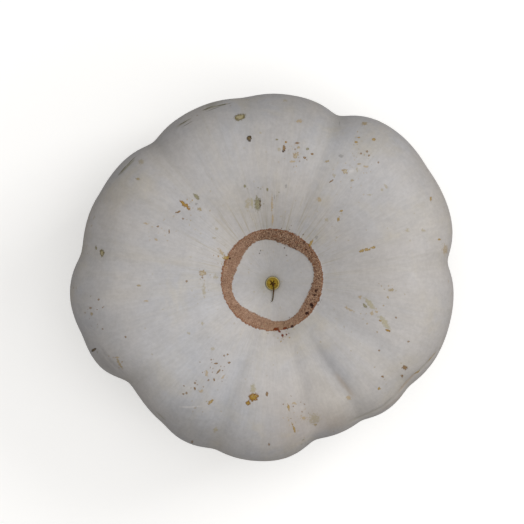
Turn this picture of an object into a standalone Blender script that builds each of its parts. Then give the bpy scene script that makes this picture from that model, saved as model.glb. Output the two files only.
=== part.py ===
"""Boer pumpkin, a broad flat white squash set down on its stalk end with its blossom end up.

Three pieces: the fruit, one solid with its ribs, its blossom scar and its stalk hollow; the cut
corky stalk, which hangs in that hollow clear of the ground; and the dried remnant of the
flower's style, a small button with a curled thread, in a pit at the middle of the blossom end.

Metres, +Z up. The origin is on the ground under the middle of the fruit. Seen from above with
+X to the right, angles run anticlockwise in degrees from +X round the fruit's axis.
"""

import math

import bmesh
import bpy
from mathutils import Vector, noise

MM = 0.001
MERGE = 0.01 * MM

# Fruit, overall
FRUIT_HEIGHT = 160 * MM
WIDEST_HEIGHT = 80 * MM
CREST_SHARE = 0.605  # where the blossom side is highest, as a share of the radius
SHOULDER_FULLNESS = 2.5  # 2 is an ellipse from the crest to the widest, more is squarer
FOOT_SHARE = 0.56  # where the stalk side is lowest
SIDE_STEPS = 22  # from the crest round the widest to the foot

# Ribs, each from the groove at its start to the next one:
# (groove's angle, its depth at the widest, its depth at the crest, the rib's own radius)
RIBS = (
    (6, 10.5 * MM, 1.4 * MM, 153.3 * MM),
    (36, 1.8 * MM, 0.5 * MM, 155.9 * MM),
    (68, 12.0 * MM, 3.2 * MM, 150.0 * MM),
    (99, 3.4 * MM, 0.8 * MM, 150.8 * MM),
    (131, 8.8 * MM, 1.8 * MM, 154.8 * MM),
    (153, 2.5 * MM, 0.3 * MM, 157.8 * MM),
    (172, 7.0 * MM, 0.8 * MM, 163.8 * MM),
    (196, 3.5 * MM, 0.3 * MM, 160.0 * MM),
    (215, 12.5 * MM, 1.2 * MM, 147.1 * MM),
    (233, 4.0 * MM, 0.3 * MM, 150.4 * MM),
    (251, 7.0 * MM, 1.8 * MM, 146.2 * MM),
    (285, 8.5 * MM, 2.6 * MM, 138.7 * MM),
    (303, 7.0 * MM, 5.0 * MM, 142.7 * MM),
    (322, 5.0 * MM, 1.3 * MM, 146.6 * MM),
)
GROOVE_WIDTH = 6.5  # degrees over which a groove's flank falls to a third
GROOVE_SOFTNESS = 2.0  # degrees, rounds the bottom of the groove
SEGMENT_SPACING = 3.6  # degrees
SEGMENT_CROWDING = 0.08  # draws the segments towards the grooves

# Blossom end: a wide dip, the corky scar of the flower's ring, and the pit of its style
BLOSSOM_DIP = 25 * MM
SCAR_INNER = 30.4 * MM
SCAR_SQUARENESS = 1.8 * MM  # the inner edge is a rounded square
SCAR_CORNER_AT = 20
SCAR_OUTER = 39.5 * MM
SCAR_RISE = 0.7 * MM
PIT_RADIUS = 5.1 * MM
PIT_DEPTH = 1.2 * MM
PIT_WALL = 0.7 * MM
STYLE_OFFSET = Vector((0.5 * MM, -2.2 * MM))  # the pit lies a little off the scar's middle

# Stalk end: a bell-shaped hollow with a level seat, and three feet that the fruit rests on
SEAT_HEIGHT = 33 * MM
SEAT_RADIUS = 26 * MM
FEET_AT = (52, 142, 269)
FOOT_WIDTH = 12  # degrees
FOOT_SINK = 1.8 * MM  # pressed level, so each foot is a small flat spot
RIB_LIFT = 1.2 * MM  # the other ribs clear the ground by this much
STALK_SIDE_GROOVE = 0.85  # share of a groove's depth at the feet
SEAT_GROOVE = 0.15  # and at the edge of the seat

# Stalk: its outline from the seat down to the cut, as (share of the length, radius)
GAP = 0.3 * MM
STALK_LENGTH = 26 * MM
STALK_OUTLINE = (
    (0.00, 23.6 * MM),
    (0.06, 23.2 * MM),
    (0.22, 19.8 * MM),
    (0.45, 18.2 * MM),
    (0.70, 18.6 * MM),
    (0.90, 19.8 * MM),
    (0.97, 19.4 * MM),
    (1.00, 18.2 * MM),
)
STALK_CUT_DISH = 0.8 * MM
STALK_RIDGES = 7
STALK_RIDGE_HEIGHT = 0.7 * MM
STALK_TWIST = 1.5  # radians that the ridges turn from the seat to the cut
STALK_LUMPS = 0.5 * MM
STALK_LUMP_SIZE = 9 * MM
STALK_STEPS = 42

# Style remnant: a button that stands out of the pit, and a thread that lies over its edge
BUTTON_RADIUS = 4.7 * MM
BUTTON_STANDS_OUT = 1.0 * MM
BUTTON_EDGE = 0.7 * MM  # how far the rounded edge falls from the top
BUTTON_DIMPLE = 0.5 * MM
BUTTON_STEPS = 28
THREAD_THICKNESS = 0.6 * MM
THREAD_BEVEL_RESOLUTION = 1

# Finishes, as (colour, roughness)
SKIN = ((0.47, 0.45, 0.43, 1), 0.5)
CORK = ((0.24, 0.14, 0.10, 1), 0.85)
STALK_CORK = ((0.33, 0.25, 0.15, 1), 0.85)
DRIED_FLOWER = ((0.17, 0.11, 0.03, 1), 0.7)


def finish(name, colour, roughness):
    """A plain Principled material."""
    material = bpy.data.materials.new(name)
    material.use_nodes = True
    shader = material.node_tree.nodes["Principled BSDF"]
    shader.inputs["Base Color"].default_value = colour
    shader.inputs["Roughness"].default_value = roughness
    shader.inputs["Metallic"].default_value = 0
    return material


def turn_between(a, b):
    """The smaller angle between two directions, in degrees."""
    return abs((a - b + 180) % 360 - 180)


def ease(share):
    """0 to 1 with level ends."""
    share = min(max(share, 0), 1)
    return share * share * (3 - 2 * share)


def blend(low, high, share):
    return low + (high - low) * share


# Fruit


def rib_spans():
    """Each rib as (start, end, radius), in degrees and metres."""
    starts = [rib[0] for rib in RIBS]
    ends = starts[1:] + [starts[0] + 360]
    return [(start, end, rib[3]) for start, end, rib in zip(starts, ends, RIBS)]


def segment_angles():
    """The angle of every segment, closer together at the grooves."""
    angles = []
    for start, end, _ in rib_spans():
        steps = round((end - start) / SEGMENT_SPACING)
        for step in range(steps):
            share = step / steps
            share -= SEGMENT_CROWDING * math.sin(2 * math.pi * share)
            angles.append(blend(start, end, share))
    return angles


def outline_radius(angle):
    """The fruit's radius before its grooves, eased from the middle of each rib to the next."""
    middles = sorted(((start + end) / 2 % 360, radius) for start, end, radius in rib_spans())
    last, first = middles[-1], middles[0]
    around = [(last[0] - 360, last[1])] + middles + [(first[0] + 360, first[1])]
    angle %= 360
    for (before, radius_before), (after, radius_after) in zip(around, around[1:]):
        if angle <= after:
            share = (angle - before) / (after - before)
            return blend(radius_before, radius_after, (1 - math.cos(math.pi * share)) / 2)
    return first[1]


def groove_depths(angle):
    """How deep the grooves are at this angle, at the widest and at the crest."""
    widest, crest = 0, 0
    for middle, depth_at_widest, depth_at_crest, _ in RIBS:
        away = turn_between(angle, middle)
        flank = (math.hypot(away, GROOVE_SOFTNESS) - GROOVE_SOFTNESS) / GROOVE_WIDTH
        widest += depth_at_widest * math.exp(-flank)
        crest += depth_at_crest * math.exp(-flank)
    return widest, crest


def foot_lift(angle, groove):
    """How far a rib is raised at its low point, where this groove is still to be sunk."""
    nearest = min(turn_between(angle, foot) for foot in FEET_AT)
    foot = math.exp(-((nearest / FOOT_WIDTH) ** 2))
    return blend(RIB_LIFT, -FOOT_SINK - groove, foot)


def scar_edges(angle):
    """The inner and outer radius of the corky scar."""
    squareness = math.cos(4 * math.radians(angle - SCAR_CORNER_AT))
    return SCAR_INNER + SCAR_SQUARENESS * squareness, SCAR_OUTER


def blossom_height(radius, crest):
    """The height of the blossom side, which dips from its crest to the axis."""
    return FRUIT_HEIGHT - BLOSSOM_DIP * (1 + math.cos(math.pi * radius / crest)) / 2


def half_section(angle):
    """The fruit's section at this angle from the blossom end to the stalk end.

    Each station is (radius, height, groove depth there).
    """
    widest, at_crest = groove_depths(angle)
    outer = outline_radius(angle)
    crest, foot = CREST_SHARE * outer, FOOT_SHARE * outer
    lift = foot_lift(angle, widest * STALK_SIDE_GROOVE)
    scar_in, scar_out = scar_edges(angle)
    stations = []

    def on_blossom_side(radius, rise=0.0, groove=0.0):
        stations.append((radius, blossom_height(radius, crest) + rise, groove))

    for share in (0.5, 1):
        on_blossom_side(PIT_RADIUS * share, -PIT_DEPTH)
    pit_edge = PIT_RADIUS + PIT_WALL
    for share in (0, 0.18, 0.38, 0.58, 0.78, 0.93):
        on_blossom_side(blend(pit_edge, scar_in, share))
    for share in (0, 0.12, 0.38, 0.62, 0.88, 1):
        rise = SCAR_RISE * math.sqrt(1 - (2 * share - 1) ** 4)
        on_blossom_side(blend(scar_in, scar_out, share), rise)
    for share in (0.08, 0.22, 0.4, 0.6, 0.8):
        radius = blend(scar_out, crest, share)
        on_blossom_side(radius, groove=at_crest * ease(share * 1.6))

    for step in range(SIDE_STEPS + 1):
        turn = math.radians(90 - 180 * step / SIDE_STEPS)
        upper = turn > 0
        if upper:
            fullness = 2 / SHOULDER_FULLNESS
            radius = blend(crest, outer, abs(math.cos(turn)) ** fullness)
            height = blend(WIDEST_HEIGHT, FRUIT_HEIGHT, math.sin(turn) ** fullness)
            groove = blend(at_crest, widest, ease((radius - crest) / (outer - crest) * 1.05))
        else:
            down = -math.sin(turn)
            radius = blend(foot, outer, math.cos(turn))
            height = WIDEST_HEIGHT * (1 - down) + lift * ease(down)
            groove = widest * blend(1, STALK_SIDE_GROOVE, down)
        stations.append((radius, height, groove))

    for share in (0.14, 0.29, 0.44, 0.58, 0.71, 0.83, 0.93, 1):
        bell = (1 - math.cos(math.pi * share)) / 2
        groove = widest * blend(STALK_SIDE_GROOVE, SEAT_GROOVE, share) * (share < 1)
        stations.append(
            (blend(foot, SEAT_RADIUS, share), blend(lift, SEAT_HEIGHT, bell), groove)
        )
    stations.append((SEAT_RADIUS / 2, SEAT_HEIGHT, 0))
    return stations


def fruit_points(angle):
    """The points of one section of the fruit, its grooves sunk in and its feet pressed level."""
    stations = half_section(angle)
    direction = Vector((math.cos(math.radians(angle)), math.sin(math.radians(angle))))
    points = []
    for index, (radius, height, groove) in enumerate(stations):
        before = stations[max(index - 1, 0)]
        after = stations[min(index + 1, len(stations) - 1)]
        along = Vector((after[0] - before[0], after[1] - before[1])).normalized()
        radius += along.y * groove
        height -= along.x * groove
        level = direction * radius
        if height > WIDEST_HEIGHT:
            level += STYLE_OFFSET * (1 - ease((radius - PIT_RADIUS) / (SCAR_INNER - PIT_RADIUS)))
        points.append(Vector((level.x, level.y, max(height, 0))))
    return points


def make_fruit():
    """A sphere whose every point is moved to its place on the fruit."""
    angles = segment_angles()
    segments = len(angles)
    sections = [fruit_points(angle) for angle in angles]
    rings = len(sections[0]) + 1
    shape = bmesh.new()
    bmesh.ops.create_uvsphere(shape, u_segments=segments, v_segments=rings, radius=1)
    for vert in shape.verts:
        ring = round(math.acos(max(-1, min(1, vert.co.z))) * rings / math.pi)
        segment = round(math.atan2(vert.co.y, vert.co.x) * segments / math.tau)
        if ring == 0:
            vert.co = (*STYLE_OFFSET, FRUIT_HEIGHT - BLOSSOM_DIP - PIT_DEPTH)
        elif ring == rings:
            vert.co = (0, 0, SEAT_HEIGHT)
        else:
            vert.co = sections[segment % segments][ring - 1]
    mesh = bpy.data.meshes.new("fruit")
    shape.to_mesh(mesh)
    shape.free()
    mesh.materials.append(finish("white skin", *SKIN))
    mesh.materials.append(finish("scar cork", *CORK))
    for face in mesh.polygons:
        middle = face.center
        angle = math.degrees(math.atan2(middle.y, middle.x))
        inner, outer = scar_edges(angle)
        on_scar = inner < math.hypot(middle.x, middle.y) < outer
        face.material_index = int(on_scar and middle.z > WIDEST_HEIGHT)
    mesh.shade_smooth()
    return bpy.data.objects.new("fruit", mesh)


# Stalk


def turned(name, outline, steps, material):
    """A solid turned from its outline, as (radius, height) from top to bottom."""
    mesh = bpy.data.meshes.new(name)
    points = [(radius, 0, height) for radius, height in outline]
    edges = [(index, index + 1) for index in range(len(points) - 1)]
    mesh.from_pydata(points, edges, [])
    mesh.materials.append(material)
    obj = bpy.data.objects.new(name, mesh)
    screw = obj.modifiers.new("turn", "SCREW")
    screw.steps = screw.render_steps = steps
    screw.use_merge_vertices = True
    screw.merge_threshold = MERGE
    return obj


def settled(obj):
    """The object with its modifiers applied."""
    graph = bpy.context.evaluated_depsgraph_get()
    mesh = bpy.data.meshes.new_from_object(obj.evaluated_get(graph))
    obj.modifiers.clear()
    obj.data = mesh
    return obj


def make_stalk(parts):
    """The cut stalk, lumpy and ridged along its length."""
    top = SEAT_HEIGHT - GAP
    outline = [(0, top), (STALK_OUTLINE[0][1] / 2, top)]
    outline += [(radius, top - share * STALK_LENGTH) for share, radius in STALK_OUTLINE]
    cut = top - STALK_LENGTH
    outline += [
        (STALK_OUTLINE[-1][1] * 0.55, cut + STALK_CUT_DISH * 0.6),
        (0, cut + STALK_CUT_DISH),
    ]
    stalk = turned("stalk", outline, STALK_STEPS, finish("stalk cork", *STALK_CORK))
    parts.objects.link(stalk)
    settled(stalk)
    for vert in stalk.data.vertices:
        radius = math.hypot(vert.co.x, vert.co.y)
        if radius < SEAT_RADIUS / 2:
            continue
        angle = math.atan2(vert.co.y, vert.co.x)
        below = (top - vert.co.z) / STALK_LENGTH
        ridge = STALK_RIDGE_HEIGHT * math.cos(STALK_RIDGES * angle + STALK_TWIST * below)
        lump = STALK_LUMPS * noise.noise(vert.co / STALK_LUMP_SIZE)
        share = (ridge + lump) * ease(below * 4) / radius
        vert.co.x *= 1 + share
        vert.co.y *= 1 + share
    stalk.data.shade_smooth()
    return stalk


# Style remnant


def make_button(parts, material):
    """The corky button: a low dome, dimpled in the middle."""
    floor = FRUIT_HEIGHT - BLOSSOM_DIP - PIT_DEPTH + GAP
    top = FRUIT_HEIGHT - BLOSSOM_DIP + BUTTON_STANDS_OUT
    outline = (
        (0, top - BUTTON_DIMPLE),
        (BUTTON_RADIUS * 0.25, top - BUTTON_DIMPLE * 0.8),
        (BUTTON_RADIUS * 0.5, top - BUTTON_DIMPLE * 0.2),
        (BUTTON_RADIUS * 0.75, top),
        (BUTTON_RADIUS * 0.92, top - BUTTON_EDGE / 3),
        (BUTTON_RADIUS, top - BUTTON_EDGE),
        (BUTTON_RADIUS * 0.96, floor),
        (0, floor),
    )
    button = turned("style_remnant", outline, BUTTON_STEPS, material)
    parts.objects.link(button)
    return settled(button)


def make_thread(parts, material):
    """The thread of the dried style: up out of the button, over its edge and along the skin."""
    top = FRUIT_HEIGHT - BLOSSOM_DIP + BUTTON_STANDS_OUT
    # In mm from the button's middle, the last of each above its top
    route = (
        (0.3, 0.4, -1.0),
        (0.2, -0.3, 0.1),
        (0.4, -1.6, 0.6),
        (0.6, -3.2, 0.7),
        (0.6, -4.9, 0.5),
        (0.4, -6.6, 0.4),
        (0.1, -8.3, 0.5),
        (-0.1, -10.0, 0.6),
        (-0.4, -11.6, 0.9),
        (-0.9, -13.0, 1.3),
        (-1.5, -14.1, 1.9),
    )
    curve = bpy.data.curves.new("thread", "CURVE")
    curve.dimensions = "3D"
    curve.bevel_depth = THREAD_THICKNESS / 2
    curve.bevel_resolution = THREAD_BEVEL_RESOLUTION
    curve.use_fill_caps = True
    spline = curve.splines.new("POLY")
    spline.points.add(len(route) - 1)
    for point, (x, y, above) in zip(spline.points, route):
        point.co = (x * MM, y * MM, top + above * MM, 1)
    drawn = bpy.data.objects.new("thread_curve", curve)
    parts.objects.link(drawn)
    graph = bpy.context.evaluated_depsgraph_get()
    mesh = bpy.data.meshes.new_from_object(drawn.evaluated_get(graph))
    bpy.data.objects.remove(drawn)
    shape = bmesh.new()
    shape.from_mesh(mesh)
    bmesh.ops.remove_doubles(shape, verts=shape.verts, dist=MERGE)
    bmesh.ops.recalc_face_normals(shape, faces=shape.faces)
    shape.to_mesh(mesh)
    shape.free()
    mesh.materials.clear()
    mesh.materials.append(material)
    thread = bpy.data.objects.new("thread", mesh)
    parts.objects.link(thread)
    return thread


def make_style_remnant(parts):
    """The button and its thread, joined in one solid."""
    material = finish("dried flower", *DRIED_FLOWER)
    button = make_button(parts, material)
    thread = make_thread(parts, material)
    join = button.modifiers.new("join", "BOOLEAN")
    join.operation = "UNION"
    join.solver = "EXACT"
    join.object = thread
    settled(button)
    bpy.data.objects.remove(thread)
    button.data.shade_smooth()
    return button


# Build


def centre_over_origin(objects, widest):
    """Moves the pieces level so that the widest one's box is centred over the origin."""
    xs = [vert.co.x for vert in widest.data.vertices]
    ys = [vert.co.y for vert in widest.data.vertices]
    middle = Vector(((min(xs) + max(xs)) / 2, (min(ys) + max(ys)) / 2, 0))
    for obj in objects:
        obj.location -= middle


def main():
    for obj in list(bpy.data.objects):
        bpy.data.objects.remove(obj)
    parts = bpy.data.collections.new("boer_pumpkin")
    bpy.context.scene.collection.children.link(parts)
    fruit = make_fruit()
    parts.objects.link(fruit)
    stalk = make_stalk(parts)
    remnant = make_style_remnant(parts)
    remnant.location.xy = STYLE_OFFSET
    centre_over_origin((fruit, stalk, remnant), fruit)


main()
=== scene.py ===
import math

import bpy
import numpy as np
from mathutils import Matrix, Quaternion, Vector
from mathutils.bvhtree import BVHTree


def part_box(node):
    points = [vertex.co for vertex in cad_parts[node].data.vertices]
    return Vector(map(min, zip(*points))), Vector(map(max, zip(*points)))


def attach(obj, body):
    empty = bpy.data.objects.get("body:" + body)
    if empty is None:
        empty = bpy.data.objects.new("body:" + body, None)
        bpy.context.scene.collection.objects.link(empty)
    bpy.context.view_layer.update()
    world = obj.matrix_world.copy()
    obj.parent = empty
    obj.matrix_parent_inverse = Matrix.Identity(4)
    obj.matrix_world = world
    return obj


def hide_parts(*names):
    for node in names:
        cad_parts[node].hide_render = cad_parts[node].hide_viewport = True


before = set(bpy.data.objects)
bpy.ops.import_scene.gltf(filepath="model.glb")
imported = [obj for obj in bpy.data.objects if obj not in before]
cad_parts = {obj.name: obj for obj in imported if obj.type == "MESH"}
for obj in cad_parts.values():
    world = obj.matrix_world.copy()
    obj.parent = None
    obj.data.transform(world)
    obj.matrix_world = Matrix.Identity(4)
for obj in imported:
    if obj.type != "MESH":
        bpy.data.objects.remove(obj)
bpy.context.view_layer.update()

mm = 0.001
fullTurn = 2 * math.pi
mergeWithin = 0.02 * mm
leastWeight = 0.001


# Helpers

def selectOnly(piece):
    bpy.ops.object.select_all(action="DESELECT")
    piece.select_set(True)
    bpy.context.view_layer.objects.active = piece


def copyOfNode(nodeName, pieceName):
    # the node's loose triangles, merged and paired into quads
    piece = bpy.data.objects.new(pieceName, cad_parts[nodeName].data.copy())
    bpy.context.collection.objects.link(piece)
    selectOnly(piece)
    bpy.ops.object.mode_set(mode="EDIT")
    bpy.ops.mesh.select_all(action="SELECT")
    bpy.ops.mesh.remove_doubles(threshold=mergeWithin)
    bpy.ops.mesh.tris_convert_to_quads(face_threshold=math.pi, shape_threshold=math.pi)
    bpy.ops.object.mode_set(mode="OBJECT")
    piece.data.materials.clear()
    return piece


def addModifier(piece, kind, **settings):
    selectOnly(piece)
    modifier = piece.modifiers.new(kind.lower(), kind)
    for name, value in settings.items():
        setattr(modifier, name, value)
    bpy.ops.object.modifier_apply(modifier=modifier.name)


def smoothStep(low, high, values):
    share = np.clip((values - low) / (high - low), 0, 1)
    return share * share * (3 - 2 * share)


def readRows(items, field):
    # three numbers for each vertex, normal or face
    flat = np.empty(len(items) * 3, np.float32)
    items.foreach_get(field, flat)
    return flat.reshape(-1, 3).astype(float)


def readCounts(items, field):
    counts = np.empty(len(items), np.int32)
    items.foreach_get(field, counts)
    return counts


def movePoints(mesh, points):
    mesh.vertices.foreach_set("co", points.astype(np.float32).ravel())
    mesh.update()


def keepOn(mesh, where, name, values):
    # keeps numbers, vectors or colours with the mesh, for its material to read
    kinds = {1: ("FLOAT", "value"), 3: ("FLOAT_VECTOR", "vector"), 4: ("FLOAT_COLOR", "color")}
    kind, field = kinds[values.shape[1] if values.ndim > 1 else 1]
    attribute = mesh.attributes.new(name, kind, where)
    attribute.data.foreach_set(field, values.astype(np.float32).ravel())


def weightPoints(piece, name, weights):
    group = piece.vertex_groups.new(name=name)
    for index in np.nonzero(weights > leastWeight)[0]:
        group.add([int(index)], float(weights[index]), "REPLACE")


def displace(piece, size, strength, where="", **textureSettings):
    # pushes the surface in and out along its normals by procedural clouds
    texture = bpy.data.textures.new("clouds", "CLOUDS")
    texture.noise_scale = size
    for name, value in textureSettings.items():
        setattr(texture, name, value)
    addModifier(piece, "DISPLACE", texture=texture, texture_coords="LOCAL", strength=strength,
                mid_level=0.5, vertex_group=where)


# Shader helpers

def feed(tree, made, inputs):
    # a socket is linked, and a plain number or colour is set
    for socket, value in inputs.items():
        if isinstance(value, bpy.types.NodeSocket):
            tree.links.new(value, made.inputs[socket])
        else:
            made.inputs[socket].default_value = value
    return made


def addNode(tree, kind, inputs, **settings):
    made = tree.nodes.new("ShaderNode" + kind)
    for name, value in settings.items():
        setattr(made, name, value)
    return feed(tree, made, inputs)


def calculate(tree, operation, *values):
    return addNode(tree, "Math", dict(enumerate(values)), operation=operation).outputs[0]


def multiply(tree, first, second):
    return calculate(tree, "MULTIPLY", first, second)


def calculateVector(tree, operation, *values):
    made = addNode(tree, "VectorMath", dict(enumerate(values)), operation=operation)
    return made.outputs["Value" if operation in ("LENGTH", "DOT_PRODUCT") else "Vector"]


def scaled(tree, vector, amount):
    made = addNode(tree, "VectorMath", {0: vector, "Scale": amount}, operation="SCALE")
    return made.outputs["Vector"]


def levelled(tree, vector):
    return calculateVector(tree, "MULTIPLY", vector, (1.0, 1.0, 0.0))


def fade(tree, value, low, high, toLow=0.0, toHigh=1.0):
    # value between low and high, eased to toLow and toHigh
    inputs = {"Value": value, "From Min": low, "From Max": high, "To Min": toLow, "To Max": toHigh}
    return addNode(tree, "MapRange", inputs, interpolation_type="SMOOTHSTEP").outputs["Result"]


def mixColours(tree, factor, first, second):
    return addNode(tree, "Mix", {0: factor, 6: first, 7: second}, data_type="RGBA").outputs[2]


def paint(hexColour):
    # "8c7a50" as a linear colour
    parts = [int(hexColour[index:index + 2], 16) / 255 for index in (0, 2, 4)]
    linear = [part / 12.92 if part <= 0.04045 else ((part + 0.055) / 1.055) ** 2.4 for part in parts]
    return (*linear, 1.0)


def layColours(tree, facts, base, layers, masks):
    # each layer is its colour's name, the name of the mask that it follows, and its strength
    colour = paint(facts[base]) if isinstance(base, str) else base
    for over, where, amount in facts[layers]:
        colour = mixColours(tree, multiply(tree, masks[where], amount), colour, paint(facts[over]))
    return colour


def bumped(tree, height, strength, depth):
    inputs = {"Height": height, "Strength": strength, "Distance": depth}
    return addNode(tree, "Bump", inputs).outputs["Normal"]


def readAttribute(tree, name):
    return addNode(tree, "Attribute", {}, attribute_name=name).outputs


def newMaterial(name):
    material = bpy.data.materials.new(name)
    material.use_nodes = True
    return material, material.node_tree, material.node_tree.nodes["Principled BSDF"]


def placeFrom(tree, centre):
    # the piece's own coordinates, moved sideways so that they start from its middle
    place = addNode(tree, "TexCoord", {}).outputs["Object"]
    inputs = {"Vector": place, "Location": (-centre.x, -centre.y, 0.0)}
    return addNode(tree, "Mapping", inputs).outputs["Vector"]


def newGroup(name, inputs, outputs):
    group = bpy.data.node_groups.new(name, "ShaderNodeTree")
    for socketName, value in inputs.items():
        kind = "NodeSocketFloat" if isinstance(value, float) else "NodeSocketVector"
        socket = group.interface.new_socket(socketName, in_out="INPUT", socket_type=kind)
        socket.default_value = value
    for socketName in outputs:
        group.interface.new_socket(socketName, in_out="OUTPUT", socket_type="NodeSocketFloat")
    return group, group.nodes.new("NodeGroupInput").outputs, group.nodes.new("NodeGroupOutput")


# The places that everything else is measured from

stalkLow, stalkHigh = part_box("stalk")
styleLow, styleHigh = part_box("style_remnant")
cadButtonRadius = 4.7 * mm
pitDepth = 0.9 * mm  # of the pit that the button stands in
axis = (stalkLow + stalkHigh) / 2  # the fruit's own axis, which the round stalk hangs on
button = Vector(((styleLow.x + styleHigh.x) / 2, styleHigh.y - cadButtonRadius, styleLow.z))
scarPlane = styleLow.z + pitDepth
print("axis of the fruit", [round(value / mm, 2) for value in axis])


# Camera, straight above the blossom end

cameraFacts = {
    "height": 1.6,  # metres above the ground
    "focalPixels": 1900.0,
    "sensorWidth": 36.0,
    "pictureSize": 524,
    "axisAtPixel": (272.0, 280.5),  # where the fruit's axis shows in the plane of the scar
}
halfPicture = cameraFacts["pictureSize"] / 2
perPixel = (cameraFacts["height"] - scarPlane) / cameraFacts["focalPixels"]  # in the plane of the scar


def placeCamera():
    facts = cameraFacts
    x = axis.x - (facts["axisAtPixel"][0] - halfPicture) * perPixel
    y = axis.y + (facts["axisAtPixel"][1] - halfPicture) * perPixel
    bpy.ops.object.camera_add(location=(x, y, facts["height"]), rotation=(0, 0, 0))
    camera = bpy.context.object
    camera.name = "camera"
    camera.data.sensor_width = facts["sensorWidth"]
    camera.data.lens = facts["focalPixels"] / facts["pictureSize"] * facts["sensorWidth"]
    bpy.context.scene.camera = camera
    return camera.location.copy()


def sightLine(pixel):
    # the direction in which a pixel of the picture lies from the camera
    across = (pixel[0] - halfPicture) / cameraFacts["focalPixels"]
    down = (pixel[1] - halfPicture) / cameraFacts["focalPixels"]
    return Vector((across, -down, -1)).normalized()


eye = placeCamera()
print("camera placed")


# Shared surface effects

def makeMottling():
    inputs = {"Vector": (0.0, 0.0, 0.0), "Scale": 30.0, "Warp": 0.0, "Low": 0.45, "High": 0.65}
    group, given, end = newGroup("mottling", inputs, ["Mask"])
    noise = addNode(group, "TexNoise", {"Vector": given["Vector"], "Scale": given["Scale"], "Detail": 4.0,
                                        "Roughness": 0.6, "Distortion": given["Warp"]})
    feed(group, end, {"Mask": fade(group, noise.outputs["Fac"], given["Low"], given["High"])})
    return group


def makeStreaks():
    # long marks that run from one end of a round piece to the other
    inputs = {"Vector": (0.0, 0.0, 0.0), "Along": 0.0, "Count": 10.0, "Drift": 0.6,
              "Low": 0.45, "High": 0.7}
    group, given, end = newGroup("streaks", inputs, ["Mask"])
    direction = calculateVector(group, "NORMALIZE", levelled(group, given["Vector"]))
    spread = scaled(group, direction, given["Count"])
    lift = addNode(group, "CombineXYZ", {"Z": multiply(group, given["Along"], given["Drift"])})
    place = calculateVector(group, "ADD", spread, lift.outputs["Vector"])
    noise = addNode(group, "TexNoise", {"Vector": place, "Scale": 1.0, "Detail": 3.0, "Roughness": 0.55})
    feed(group, end, {"Mask": fade(group, noise.outputs["Fac"], given["Low"], given["High"])})
    return group


def makeCorkGrain():
    # granules with dark seams between them
    seamWidth, seamDepth = 0.16, 0.45
    inputs = {"Vector": (0.0, 0.0, 0.0), "Scale": 700.0}
    group, given, end = newGroup("corkGrain", inputs, ["Height", "Seams"])
    place = {"Vector": given["Vector"], "Scale": given["Scale"]}
    cells = addNode(group, "TexVoronoi", place, feature="DISTANCE_TO_EDGE")
    seams = fade(group, cells.outputs["Distance"], 0.0, seamWidth, 1.0, 0.0)
    fine = addNode(group, "TexNoise", {**place, "Detail": 5.0, "Roughness": 0.7})
    height = calculate(group, "SUBTRACT", fine.outputs["Fac"], multiply(group, seams, seamDepth))
    feed(group, end, {"Height": height, "Seams": seams})
    return group


mottling = makeMottling()
streaks = makeStreaks()
corkGrain = makeCorkGrain()


def mottle(tree, place, scale, warp, low, high):
    inputs = {"Vector": place, "Scale": scale, "Warp": warp, "Low": low, "High": high}
    return addNode(tree, "Group", inputs, node_tree=mottling).outputs["Mask"]


def streak(tree, place, along, count, drift, low, high):
    inputs = {"Vector": place, "Along": along, "Count": count, "Drift": drift, "Low": low, "High": high}
    return addNode(tree, "Group", inputs, node_tree=streaks).outputs["Mask"]


def granulate(tree, place, scale):
    made = addNode(tree, "Group", {"Vector": place, "Scale": scale}, node_tree=corkGrain)
    return made.outputs["Height"], made.outputs["Seams"]


# Fruit: the shape

fruitFacts = {
    "widestHeight": 80 * mm,
    "coreShare": 0.57,  # the middle of the round side, as a share of the radius
    "radius": 150 * mm,
    "scarInner": 30.1 * mm,
    "scarSquareness": 1.8 * mm,
    "scarCornerAt": 20,  # degrees
    "scarOuter": 39.5 * mm,
    # the band is a little wider on some sides: how much, and towards which angle in degrees
    "innerDrift": (0.65 * mm, 195),
    "outerDrift": (0.65 * mm, 95),
    # where the granules start and end across the band, whose edges are 0 and 1
    "granulesStart": (-0.05, 0.12),
    "granulesEnd": (0.88, 1.05),
    "granuleHeight": 0.55 * mm,
    "granuleSize": 1.7 * mm,
    "unevenness": 0.5 * mm,
    "unevenSize": 35 * mm,
    # (angle in degrees, how deep as a share of the deepest)
    "grooves": ((6, 0.8), (36, 0.2), (68, 1.0), (99, 0.35), (131, 0.75), (153, 0.2), (172, 0.55),
                (196, 0.3), (215, 1.0), (233, 0.3), (251, 0.6), (285, 0.7), (303, 0.6), (322, 0.45)),
    "grooveWidth": 2.6,  # degrees
    # where the grooves start and end, in quarter turns down the side
    "groovesStart": (-0.2, 0.9),
    "groovesEnd": (2.6, 3.2),
}
farAcross = 9.0  # stands for all that lies outside the scar on the underside


def driftOf(setting, angle):
    amount, towards = setting
    return amount * np.cos(np.radians(angle - towards))


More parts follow.
